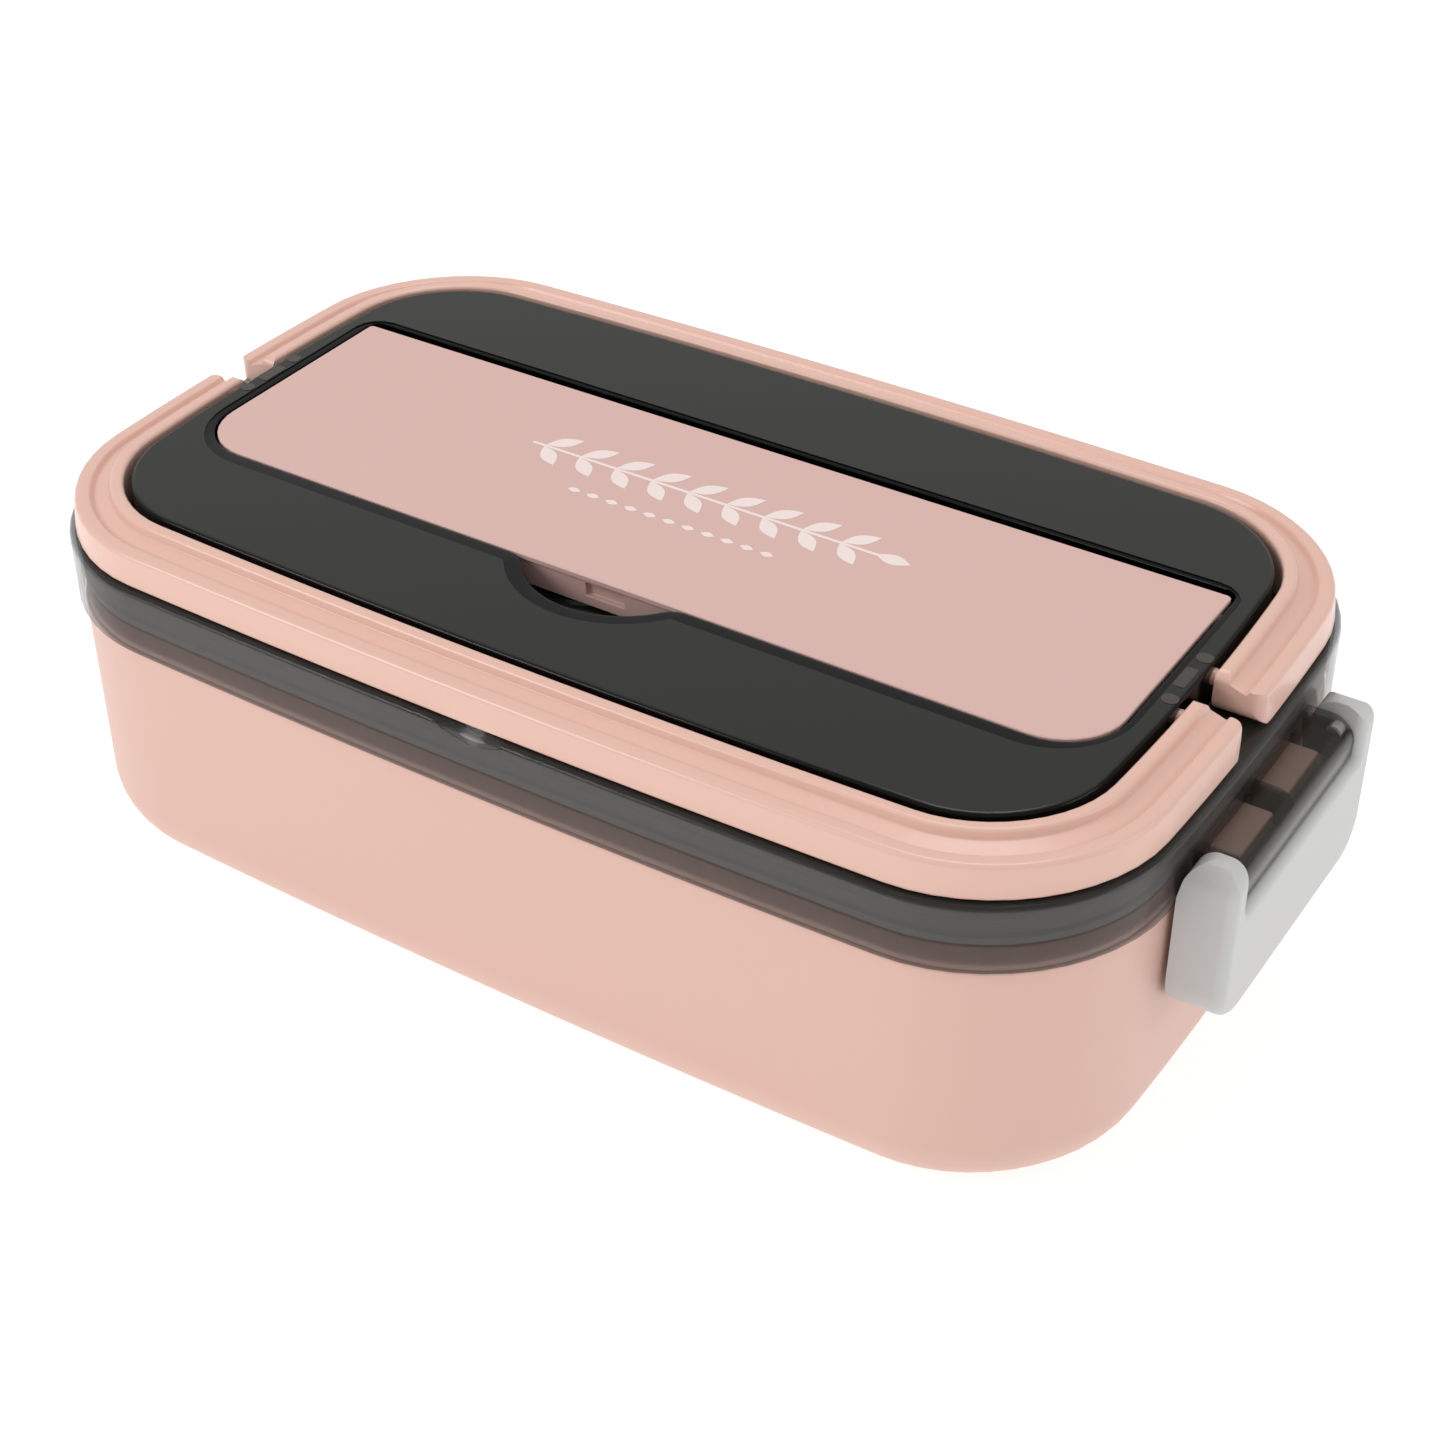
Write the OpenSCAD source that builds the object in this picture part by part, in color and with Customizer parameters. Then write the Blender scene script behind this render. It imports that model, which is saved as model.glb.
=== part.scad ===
// Bento lunch box: tub, clip-on lid with a cutlery well, hinged well cover,
// two folding handle halves and two end latches.
// The long side runs along X, the front is -Y and the box stands on Z = 0.

/* [Plan outline] */
// Half length of the inner edge of the handles, at the middle of a corner radius
half_x = 100; // [90:1:120]
// Half depth of the inner edge of the handles
half_y = 53.88; // [48:0.01:60]
// Corner radius of that outline
corner_r = 21.6; // [16:0.1:28]
// How far the short sides bow outwards
bow_x = 2.63; // [0:0.01:4]
// How far the long sides bow outwards
bow_y = 2.53; // [0:0.01:4]

/* [Tub] */
// Outer wall of the tub, outside the plan outline
tub_off = 10.07; // [9:0.01:12]
// Wall thickness of the tub
tub_wall = 2.17; // [1.5:0.01:3]
// Outer rounding between wall and bottom
tub_round = 12; // [8:0.5:16]
// Height of the step that the lid's skirt closes on
shoulder_z = 51.2; // [45:0.1:51.5]
// Top of the tub's rim
rim_z = 55.9; // [54:0.1:55.9]

/* [Lid] */
// Outer face of the lid's skirt, outside the plan outline
skirt_off = 11.13; // [10.8:0.01:13]
// Lower edge of the skirt
skirt_z = 51.93; // [51.6:0.01:54]
// Ledge that the handles lie on
ledge_z = 65.1; // [62:0.1:67]
// Top of the raised middle
plateau_z = 73.5; // [72:0.1:75]
// Edge of the raised middle, inside the plan outline
plateau_off = -1.3; // [-3:0.1:-1]
// Floor of the cutlery well
well_z = 58; // [57.5:0.1:62]

/* [Cover] */
// Half length of the cover
cover_x = 95.75; // [80:0.05:96]
// Front edge of the cover
cover_front = -27.56; // [-30:0.01:-20]
// Back edge of the cover
cover_back = 27.26; // [20:0.01:28]
// Thickness of the cover plate
cover_t = 1.2; // [1:0.1:2]

/* [Handles] */
// Half of the gap between the two handle halves
handle_gap = 4.7; // [3:0.1:6]
// Distance of each handle pivot from the middle
handle_pivot_y = 7; // [6.5:0.1:9]
// Height of the handle pivots
handle_pivot_z = 70.5; // [70.3:0.1:71]
// Radius of a handle pivot pin
handle_pin_r = 2; // [1.5:0.1:2]

/* [Latches] */
// Outer face of a latch
latch_x = 123.5; // [122:0.1:126]
// Half width of a latch
latch_y = 30.2; // [29:0.1:32]
// Lower edge of a latch
latch_z = 28.5; // [20:0.5:34]
// Height of the latch pivots
latch_pivot_z = 56.2; // [55.8:0.1:56.6]
// Distance of the latch pivots from the middle of the box
latch_pivot_x = 118.7; // [118.4:0.1:119]

/* [Hidden] */
$fn = 48;
running = 0.05;      // radial clearance of every pin in its bore
long = 320;          // longer than the whole box
skirt_t = 1.3;
plate_t = 2;
floor_t = 2.2;
plug_off = 6.9;
plug_z = 54.5;
well_half_x = 96.6;
well_front = -28.4;
well_deep_front = -24.8;
well_back = 29.3;
shelf_z = 66.2;
shell_t = 1.6;
notch_r = 19.5;
notch_y = -18.2;
notch_z = 64.8;
hinge_y = 22.6;
hinge_z = 70.6;
hinge_pin_r = 1.3;
cover_top = plateau_z - 0.2;
hood_y = 24;
hood_x = 117.2;
hood_z = 54.2;
hood_r = 4.8;
hood_t = 1.4;
hood_lip_z = 51.2;
latch_pin_r = 1.4;
latch_swing_r = 6.4;
knuckle_r = latch_x - latch_pivot_x;
knuckle_y = hood_y + 0.5;
latch_in_x = 113.3;
tab_x = 118.5;
pink = [0.90, 0.75, 0.69];
rose = [0.84, 0.70, 0.67];
smoke = [0.21, 0.21, 0.20];
pale = [0.82, 0.82, 0.81];

// ---------- plan outline: a rounded rectangle whose four sides bow outwards ----------
side_steps = 6;
long_steps = 12;
arc_steps = 12;

function lerp(a, b, t) = a + (b - a) * t;
function side(p, q, steps) = [for (i = [0:steps - 1]) [lerp(p[0], q[0], i / steps), lerp(p[1], q[1], i / steps)]];
function arc(c, r, from) = [for (i = [0:arc_steps - 1])
    let (t = from + 90 * i / arc_steps) [c[0] + r * cos(t), c[1] + r * sin(t)]];
function square_plan(a, b, cx, cy, r) = concat(
    side([a, -cy], [a, cy], side_steps), arc([cx, cy], r, 0),
    side([cx, b], [-cx, b], long_steps), arc([-cx, cy], r, 90),
    side([-a, cy], [-a, -cy], side_steps), arc([-cx, -cy], r, 180),
    side([-cx, -b], [cx, -b], long_steps), arc([cx, -cy], r, 270));
function bowed(p, a, b) = [
    p[0] + bow_x * (1 - pow(p[1] / b, 2)) * p[0] / a,
    p[1] + bow_y * (1 - pow(p[0] / a, 2)) * p[1] / b];
function outline(off) = let (a = half_x + off, b = half_y + off)
    [for (p = square_plan(a, b, half_x - corner_r, half_y - corner_r, corner_r + off)) bowed(p, a, b)];

module plan(off) {
    polygon(outline(off));
}

module slab(off, z0, z1) {
    translate([0, 0, z0])
        linear_extrude(z1 - z0) plan(off);
}

module ring(off_out, off_in, z0, z1) {
    translate([0, 0, z0])
        linear_extrude(z1 - z0)
            difference() {
                plan(off_out);
                plan(off_in);
            }
}

module block(x0, x1, y0, y1, z0, z1) {
    translate([x0, y0, z0])
        cube([x1 - x0, y1 - y0, z1 - z0]);
}

// A solid through a list of [offset, height] levels; closed joins the last level to the first.
module loft(levels, closed = false) {
    n = len(outline(0));
    m = len(levels);
    points = [for (l = levels) for (p = outline(l[0])) [p[0], p[1], l[1]]];
    walls = [for (k = [0:(closed ? m : m - 1) - 1]) for (i = [0:n - 1])
        let (j = (i + 1) % n, u = (k + 1) % m)
            [k * n + i, u * n + i, u * n + j, k * n + j]];
    caps = closed ? [] : [[for (i = [0:n - 1]) i], [for (i = [n - 1:-1:0]) (m - 1) * n + i]];
    polyhedron(points, concat(walls, caps), convexity = 8);
}

module bar_y(x, z, r, y0, y1) {
    translate([x, y0, z])
        rotate([-90, 0, 0])
            cylinder(r = r, h = y1 - y0);
}

module bar_x(y, z, r, x0, x1) {
    translate([x0, y, z])
        rotate([0, 90, 0])
            cylinder(r = r, h = x1 - x0);
}

module both_ends() {
    children();
    mirror([1, 0, 0])
        children();
}

// A rectangle with round corners of one radius, drawn with exact arcs.
module round_rect(x0, x1, y0, y1, r) {
    square_w = x1 - x0 - 2 * r;
    square_h = y1 - y0 - 2 * r;
    translate([x0 + r, y0])
        square([square_w, square_h + 2 * r]);
    translate([x0, y0 + r])
        square([square_w + 2 * r, square_h]);
    for (x = [x0 + r, x1 - r], y = [y0 + r, y1 - r])
        translate([x, y])
            circle(r);
}

// ---------- tub ----------
function tub_levels(off, z, r) = [for (i = [0:6]) [off - r + r * sin(15 * i), z + r - r * cos(15 * i)]];

module tub_catch() {
    for (s = [-1, 1])
        block(half_x + 8, tab_x, s > 0 ? 3 : -17, s > 0 ? 17 : -3, 50.6, 55.4);
}

module tub() {
    color(pink)
        difference() {
            union() {
                loft(concat(tub_levels(tub_off, 0, tub_round), [[tub_off, shoulder_z]]));
                slab(skirt_off - skirt_t - 0.33, shoulder_z, rim_z);
                both_ends()
                    tub_catch();
            }
            loft(concat(tub_levels(tub_off - tub_wall, floor_t, tub_round - tub_wall),
                        [[tub_off - tub_wall, rim_z + 1]]));
            slab(-8, -1, 0.6);
        }
}

// ---------- divider: one cross wall and one short wall behind it ----------
module divider() {
    wall_t = 1.8;
    cross_x = 28;
    top = 49;
    bottom = floor_t + 0.05;
    color(pink)
        union() {
            translate([cross_x - wall_t / 2, 0, 0])
                rotate([90, 0, 90])
                    linear_extrude(wall_t)
                        intersection() {
                            round_rect(-63.4, 63.4, bottom, 2 * top, 12);
                            translate([-64, 0])
                                square([128, top]);
                        }
            translate([0, wall_t / 2, 0])
                rotate([90, 0, 0])
                    linear_extrude(wall_t)
                        intersection() {
                            round_rect(-109.6, 109.6, bottom, 2 * top, 12);
                            translate([cross_x, 0])
                                square([82, top]);
                        }
            block(cross_x - 3, cross_x + 3, -50, 50, bottom, bottom + 1.2);
            block(cross_x, 96, -3, 3, bottom, bottom + 1.2);
        }
}

// ---------- lid ----------
module well_plan(grow) {
    round_rect(-well_half_x - grow, well_half_x + grow, well_deep_front - grow, well_back + grow, 3 + grow);
}

module shelf_plan(grow) {
    round_rect(-well_half_x - grow, well_half_x + grow, well_front - grow, 0, 12.8 + grow);
}

module notch_plan(grow) {
    translate([-0.8, notch_y])
        circle(notch_r + grow);
}

module raise(z0, z1) {
    translate([0, 0, z0])
        linear_extrude(z1 - z0)
            children();
}

module hood_profile(r, back) {
    translate([hood_x, hood_z])
        circle(r);
    translate([back, hood_lip_z])
        square([hood_x - back, hood_z + r - hood_lip_z]);
    translate([hood_x, hood_lip_z])
        square([r, hood_z - hood_lip_z]);
}

module hood_prism(r, back, y0, y1) {
    translate([0, y1, 0])
        rotate([90, 0, 0])
            linear_extrude(y1 - y0)
                intersection() {
                    hood_profile(r, back);
                    translate([back, hood_lip_z])
                        square([20, 20]);
                }
}

module hood() {
    rib_t = 2.3;
    difference() {
        hood_prism(hood_r, half_x + 11.2, -hood_y, hood_y);
        for (s = [-1, 1])
            hood_prism(hood_r - hood_t, half_x + 11.2, s > 0 ? 1 : rib_t - hood_y, s > 0 ? hood_y - rib_t : -1);
        for (s = [-1, 1])
            block(half_x + 5, hood_x + hood_r - hood_t, s > 0 ? 1 : rib_t - hood_y,
                  s > 0 ? hood_y - rib_t : -1, hood_lip_z - 1, hood_z);
        slab(skirt_off - skirt_t / 2, hood_lip_z - 1, hood_z + hood_r + 1);
        bar_y(latch_pivot_x, latch_pivot_z, latch_pin_r + running, -hood_y - 1, rib_t - hood_y + 1);
        bar_y(latch_pivot_x, latch_pivot_z, latch_pin_r + running, hood_y - rib_t - 1, hood_y + 1);
    }
}

module lid_pockets() {
    raise(well_z, plateau_z + 1)
        well_plan(0);
    raise(shelf_z, plateau_z + 1)
        shelf_plan(0);
    raise(notch_z, plateau_z + 1)
        notch_plan(0);
}

module lid_underside() {
    difference() {
        slab(plug_off - 1.5, plug_z - 1, ledge_z - plate_t);
        raise(well_z - shell_t, plateau_z)
            well_plan(shell_t);
    }
    difference() {
        slab(plateau_off - plate_t, plug_z - 1, plateau_z - plate_t);
        raise(well_z - shell_t, plateau_z)
            well_plan(shell_t);
        raise(shelf_z - shell_t, plateau_z)
            shelf_plan(shell_t);
        raise(notch_z - shell_t, plateau_z)
            notch_plan(shell_t);
        both_ends()
            block(well_half_x, long, -30, 30, ledge_z - plate_t, plateau_z);
    }
}

module lid_shell() {
    color(smoke)
        difference() {
            union() {
                slab(skirt_off, ledge_z - plate_t, ledge_z);
                ring(skirt_off, skirt_off - skirt_t, skirt_z, ledge_z - plate_t);
                ring(plug_off, plug_off - 1.5, plug_z, ledge_z - plate_t);
                raise(well_z - shell_t, ledge_z)
                    well_plan(shell_t);
                slab(plateau_off, ledge_z, plateau_z);
                both_ends()
                    hood();
            }
            lid_underside();
            lid_pockets();
            both_ends()
                for (s = [-1, 1]) {
                    block(half_x + 8, half_x + 14.5, s > 0 ? 2 : -18, s > 0 ? 18 : -2, skirt_z - 1, 56.4);
                    bar_x(s * handle_pivot_y, handle_pivot_z, handle_pin_r + running, 97.7, 104);
                    bar_x(hinge_y, hinge_z, hinge_pin_r + running, well_half_x - 1, 98.9);
                }
            translate([0, -half_y - bow_y - skirt_off - 10.65, ledge_z + 10.65])
                sphere(17);
        }
}

module seal_ring() {
    color(pale)
        ring(9.55, 7.05, 56.25, 63.0);
}

// ---------- cover of the cutlery well ----------
module cover_plan() {
    front_r = 12;
    back_r = 1;
    hull() {
        for (s = [-1, 1]) {
            translate([s * (cover_x - front_r), cover_front + front_r])
                circle(front_r);
            translate([s * (cover_x - back_r), cover_back - back_r])
                circle(back_r);
        }
    }
}

module cover() {
    plate_z = cover_top - cover_t;
    color(rose)
        union() {
            raise(plate_z, cover_top)
                cover_plan();
            difference() {
                block(-84, 84, -26.6, -25.4, 66.5, plate_z);
                block(-4, 4.2, -27, -25, 68.5, 71.1);
            }
            both_ends() {
                block(93.2, 95, -12, 20, 69.8, plate_z);
                bar_x(hinge_y, hinge_z, 2.4, 93.2, 95);
                block(93.2, 95, hinge_y - 2.4, hinge_y + 2.4, hinge_z, plate_z);
                bar_x(hinge_y, hinge_z, hinge_pin_r, 94, 98.4);
            }
            block(-90, 90, 8, 9.5, 70.2, plate_z);
        }
}

// ---------- handle halves ----------
handle_z = 65.6;
handle_top = 73.6;
handle_levels = [[9.2, handle_z], [9.8, handle_z + 0.6], [9.2, 71.1], [8.4, 71.8], [6.6, 71.8], [6.0, 71.3],
                 [2.8, 72.2], [2.5, 73.0], [1.8, handle_top], [0.7, handle_top], [0, 72.9], [0, handle_z]];

module handle_side() {
    top_r = 2.2;
    bottom_r = 3.2;
    hull() {
        translate([-80, 65])
            square([1, 9]);
        translate([-handle_gap - top_r, handle_top - top_r])
            circle(top_r);
        translate([-handle_gap - bottom_r, handle_z + bottom_r])
            circle(bottom_r);
    }
}

module handle_half() {
    intersection() {
        loft(handle_levels, closed = true);
        translate([-long / 2, 0, 0])
            rotate([90, 0, 90])
                linear_extrude(long)
                    handle_side();
    }
    both_ends()
        bar_x(-handle_pivot_y, handle_pivot_z, handle_pin_r, 98, 104);
}

module front_handle() {
    color(pink)
        handle_half();
}

module rear_handle() {
    color(pink)
        mirror([0, 1, 0])
            handle_half();
}

// ---------- latches ----------
module latch_side() {
    translate([latch_pivot_x, latch_pivot_z])
        circle(knuckle_r);
    polygon([[latch_in_x, latch_z + 2], [latch_in_x + 2, latch_z], [latch_x - 3, latch_z], [latch_x, latch_z + 3],
             [latch_x, latch_pivot_z], [latch_pivot_x - knuckle_r, latch_pivot_z], [latch_in_x + 0.7, 52],
             [latch_in_x, 49.5]]);
}

module latch_prism(y0, y1) {
    translate([0, y1, 0])
        rotate([90, 0, 0])
            linear_extrude(y1 - y0)
                latch_side();
}

module latch() {
    color(pale)
        union() {
            difference() {
                intersection() {
                    latch_prism(-latch_y, latch_y);
                    translate([100, 0, 0])
                        rotate([90, 0, 90])
                            linear_extrude(40)
                                round_rect(-latch_y, latch_y, latch_z, latch_pivot_z + knuckle_r, 8);
                }
                bar_y(latch_pivot_x, latch_pivot_z, latch_swing_r, -knuckle_y, knuckle_y);
                block(100, 130, -knuckle_y, knuckle_y, 50.7, 70);
                block(100, latch_x - 1, -knuckle_y, knuckle_y, 50.1, 70);
                block(100, latch_x - 2.4, -knuckle_y, knuckle_y, latch_z + 2.6, 46.2);
            }
            for (s = [-1, 1])
                bar_y(latch_pivot_x, latch_pivot_z, latch_pin_r, s > 0 ? hood_y - 2.1 : -hood_y - 1.7,
                      s > 0 ? hood_y + 1.7 : 2.1 - hood_y);
        }
}

module latch_right() {
    latch();
}

module latch_left() {
    mirror([1, 0, 0])
        latch();
}

// ---------- cutlery in the well: dished heads cut from a spherical shell ----------
module dish(x, y, low_z, shell_r, t) {
    intersection() {
        difference() {
            translate([x, y, low_z + shell_r])
                sphere(shell_r, $fn = 96);
            translate([x, y, low_z + shell_r])
                sphere(shell_r - t, $fn = 96);
        }
        raise(low_z - 1, low_z + 7)
            children();
    }
}

function ellipse(cx, cy, rx, ry) = [for (i = [0:35]) [cx + rx * cos(10 * i), cy + ry * sin(10 * i)]];

module spoon() {
    color(pink)
        union() {
            dish(-62, 9.5, 58.3, 62, 1.6)
                polygon(ellipse(-62, 9.5, 27, 15.5));
            raise(60.4, 62.8)
                round_rect(-38, 90, 5.5, 13.5, 3.9);
            raise(59.4, 62.8)
                round_rect(-42, -28, 6.5, 12.5, 2.9);
        }
}

module fork() {
    color(pink)
        union() {
            dish(66, -11.5, 58.3, 70, 1.8)
                difference() {
                    round_rect(40, 92, -22.5, -0.5, 10.9);
                    for (y = [-17, -11.5, -6])
                        translate([70, y - 1.1])
                            square([30, 2.2]);
                }
            raise(59.6, 62.4)
                round_rect(-90, 47, -15.5, -7.5, 3.9);
        }
}

tub();
divider();
lid_shell();
seal_ring();
cover();
front_handle();
rear_handle();
latch_right();
latch_left();
spoon();
fork();
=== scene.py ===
import logging
import math
from dataclasses import dataclass
from enum import Enum
from typing import Any, Callable, Iterable, Sequence

import bmesh
import bpy
from bmesh.types import BMEdge, BMesh, BMFace, BMVert
from mathutils import Matrix, Quaternion, Vector


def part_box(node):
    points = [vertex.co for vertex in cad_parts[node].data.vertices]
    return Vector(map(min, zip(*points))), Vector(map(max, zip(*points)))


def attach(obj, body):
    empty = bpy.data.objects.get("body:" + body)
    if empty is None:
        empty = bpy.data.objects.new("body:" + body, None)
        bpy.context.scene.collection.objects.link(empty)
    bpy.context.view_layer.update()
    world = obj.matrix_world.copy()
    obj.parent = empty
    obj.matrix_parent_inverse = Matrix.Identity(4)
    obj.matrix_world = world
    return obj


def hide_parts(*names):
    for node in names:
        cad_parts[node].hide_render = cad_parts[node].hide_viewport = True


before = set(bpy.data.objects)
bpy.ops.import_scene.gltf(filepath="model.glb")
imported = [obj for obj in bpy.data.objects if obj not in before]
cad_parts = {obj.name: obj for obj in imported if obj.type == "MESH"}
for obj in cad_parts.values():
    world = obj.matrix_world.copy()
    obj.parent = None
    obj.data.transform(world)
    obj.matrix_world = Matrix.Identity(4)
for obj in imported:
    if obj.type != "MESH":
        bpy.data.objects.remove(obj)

log = logging.getLogger("lunch_box")

MM = 0.001
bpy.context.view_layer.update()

Corner = tuple[float, float, float]
Height = Callable[[Vector], float] | float
Colour = tuple[float, float, float]


def node_box(node: str) -> tuple[Vector, Vector]:
    """Gives the corners of a node of the model in millimetres.

    Args:
        node: the node's name.

    Returns:
        The lowest and the highest corner.
    """
    low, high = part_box(node)
    return low / MM, high / MM


class Body(str, Enum):
    """The bodies that pieces ride on."""

    TUB = "tub"
    LID = "lid"
    COVER = "cover"
    FRONT_HANDLE = "front_handle"
    REAR_HANDLE = "rear_handle"
    LATCH_RIGHT = "latch_right"
    LATCH_LEFT = "latch_left"


class Axis(Enum):
    """The direction in which a flat outline is pushed out."""

    X = Vector((1, 0, 0))
    Y = Vector((0, 1, 0))
    Z = Vector((0, 0, 1))


# ---- outlines


def rounded(corners: Sequence[Corner], closed: bool = False) -> list[Vector]:
    """Turns a line with a radius at each corner into points.

    Args:
        corners: across, up and radius of each corner.
        closed: whether the last corner joins the first.

    Returns:
        The points of the line, with an arc at each rounded corner.
    """
    points: list[Vector] = []
    for i, (across, up, radius) in enumerate(corners):
        here = Vector((across, up))
        if not radius or not (closed or 0 < i < len(corners) - 1):
            points.append(here)
            continue
        back = (Vector(corners[i - 1][:2]) - here).normalized()
        ahead = (Vector(corners[(i + 1) % len(corners)][:2]) - here).normalized()
        half = back.angle(ahead) / 2
        centre = here + (back + ahead).normalized() * radius / math.sin(half)
        first = here + back * radius / math.tan(half) - centre
        last = here + ahead * radius / math.tan(half) - centre
        start = math.atan2(first.y, first.x)
        turn = (math.atan2(last.y, last.x) - start + math.pi) % math.tau - math.pi
        steps = max(2, round(3 * math.sqrt(radius)))
        for k in range(steps + 1):
            angle = start + turn * k / steps
            points.append(centre + Vector((math.cos(angle), math.sin(angle))) * radius)
    return points


def ring_edges(bm: BMesh, verts: Sequence[BMVert]) -> list[BMEdge]:
    """Gives the edges of a closed ring of corners."""
    return [bm.edges.get(pair) for pair in zip(verts, list(verts[1:]) + list(verts[:1]))]


@dataclass(frozen=True)
class Arc:
    """A round stretch of an outline; grow is how its radius follows the outline's offset."""

    x: float
    y: float
    radius: float
    start: float
    end: float
    grow: float = 1.0

    def points(self, off: float) -> list[Vector]:
        """Gives the arc's points with the outline moved outwards by off."""
        steps = max(3, round(math.sqrt(self.radius) * abs(self.end - self.start) / 35))
        size = self.radius + self.grow * off
        turns = [math.radians(self.start + (self.end - self.start) * k / steps) for k in range(steps + 1)]
        return [Vector((self.x + size * math.cos(t), self.y + size * math.sin(t))) for t in turns]


@dataclass(frozen=True)
class Outline:
    """A closed plan shape made of arcs with straight sides between them."""

    arcs: tuple[Arc, ...]
    side_steps: int = 1
    warp: Callable[[Vector, float], Vector] | None = None

    def points(self, off: float) -> list[Vector]:
        """Gives the outline's points, moved outwards by off."""
        runs = [arc.points(off) for arc in self.arcs]
        points: list[Vector] = []
        for run, after in zip(runs, runs[1:] + runs[:1]):
            points += run
            points += [run[-1].lerp(after[0], k / self.side_steps) for k in range(1, self.side_steps)]
        points = [p for p, before in zip(points, points[-1:] + points[:-1]) if (p - before).length > 1e-3]
        return [self.warp(p, off) for p in points] if self.warp else points

    def spots(self, off: float, height: Height) -> list[Vector]:
        """Gives the outline's points in space, at a height or at a height for each point."""
        return [Vector((p.x, p.y, height(p) if callable(height) else height)) for p in self.points(off)]

    def loop(self, bm: BMesh, off: float, height: Height) -> list[BMVert]:
        """Adds the outline to a mesh as a loop of edges.

        Args:
            bm: the mesh.
            off: how far the outline is moved outwards.
            height: the height of the loop, or a function that gives it at a point.

        Returns:
            The loop's corners in order.
        """
        verts = [bm.verts.new(spot) for spot in self.spots(off, height)]
        for pair in zip(verts, verts[1:] + verts[:1]):
            bm.edges.new(pair)
        return verts

    def grow(self, bm: BMesh, verts: list[BMVert], off: float, height: Height) -> list[BMVert]:
        """Extrudes a loop and moves the new one to another offset and height.

        Args:
            bm: the mesh.
            verts: the loop that it starts from, in order.
            off: the new loop's offset.
            height: its height.

        Returns:
            The new loop's corners in order.
        """
        made = bmesh.ops.extrude_edge_only(bm, edges=ring_edges(bm, verts))["geom"]
        fresh = {g for g in made if isinstance(g, BMVert)}
        mates = [next(e.other_vert(v) for e in v.link_edges if e.other_vert(v) in fresh) for v in verts]
        for mate, spot in zip(mates, self.spots(off, height)):
            mate.co = spot
        return mates

    def loft(self, bm: BMesh, section: Sequence[Vector], closed: bool = False,
             capped: bool = True) -> list[BMVert]:
        """Skins the outline through the offsets and heights of a section.

        Args:
            bm: the mesh.
            section: offset and height of each level.
            closed: whether the last level joins the first.
            capped: whether an open section's first and last levels are filled.

        Returns:
            The last level's corners in order.
        """
        first = verts = self.loop(bm, section[0].x, section[0].y)
        for level in list(section[1:]) + (list(section[:1]) if closed else []):
            verts = self.grow(bm, verts, level.x, level.y)
        if closed:
            bmesh.ops.remove_doubles(bm, verts=first + verts, dist=1e-4)
        elif capped:
            for loop in (first, verts):
                bmesh.ops.edgeloop_fill(bm, edges=ring_edges(bm, loop))
        return verts


# ---- solids


def prism(bm: BMesh, points: Sequence[Vector], axis: Axis, low: float, high: float) -> None:
    """Pushes a flat outline out into a solid.

    Args:
        bm: the mesh that it is added to.
        points: the outline, in the plane across the axis.
        axis: the direction of the push.
        low: where the solid begins.
        high: where it ends.
    """
    place = {
        Axis.X: lambda p: (low, p[0], p[1]),
        Axis.Y: lambda p: (p[0], low, p[1]),
        Axis.Z: lambda p: (p[0], p[1], low),
    }[axis]
    face = bm.faces.new([bm.verts.new(place(p)) for p in points])
    made = bmesh.ops.extrude_face_region(bm, geom=[face])["geom"]
    verts = [g for g in made if isinstance(g, BMVert)]
    bmesh.ops.translate(bm, verts=verts, vec=axis.value * (high - low))


def block(bm: BMesh, corner: Sequence[float], opposite: Sequence[float], soft: float = 0.0) -> None:
    """Adds a box between two opposite corners, its edges rounded to the radius soft."""
    low, high = (Vector(end) for end in zip(*(sorted(pair) for pair in zip(corner, opposite))))
    place = Matrix.Translation((high + low) / 2) @ Matrix.Diagonal((*(high - low), 1))
    verts = bmesh.ops.create_cube(bm, size=1, matrix=place)["verts"]
    if soft:
        edges = list(dict.fromkeys(e for v in verts for e in v.link_edges))
        bmesh.ops.bevel(bm, geom=edges, offset=soft, segments=3, profile=0.5, affect="EDGES", material=-1)


def bar(bm: BMesh, axis: Axis, across: tuple[float, float], radius: float, ends: Iterable[float]) -> None:
    """Adds a round bar with flat ends.

    Args:
        bm: the mesh.
        axis: the bar's direction, X or Y.
        across: its place on the other level axis, and its height.
        radius: its radius.
        ends: where it begins and ends, in any order.
    """
    low, high = sorted(ends)
    middle = (low + high) / 2
    spot, turned = {
        Axis.X: ((middle, *across), "Y"),
        Axis.Y: ((across[0], middle, across[1]), "X"),
    }[axis]
    place = Matrix.Translation(spot) @ Matrix.Rotation(math.pi / 2, 4, turned)
    bmesh.ops.create_cone(bm, cap_ends=True, segments=32, radius1=radius, radius2=radius, depth=high - low,
                          matrix=place)


def sink(bm: BMesh, patch: Sequence[BMFace], way: Sequence[float]) -> None:
    """Moves a patch of faces and leaves walls round it.

    Args:
        bm: the mesh.
        patch: the faces.
        way: how far and in which direction they move.
    """
    made = bmesh.ops.extrude_face_region(bm, geom=patch)["geom"]
    bmesh.ops.translate(bm, verts=[g for g in made if isinstance(g, BMVert)], vec=way)
    bmesh.ops.delete(bm, geom=[f for f in patch if f.is_valid], context="FACES_ONLY")


def flip(bm: BMesh, axis: Axis) -> None:
    """Turns a mesh into its mirror image on the other side of the box."""
    bmesh.ops.scale(bm, vec=Vector((1, 1, 1)) - 2 * axis.value, verts=bm.verts[:])


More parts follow.
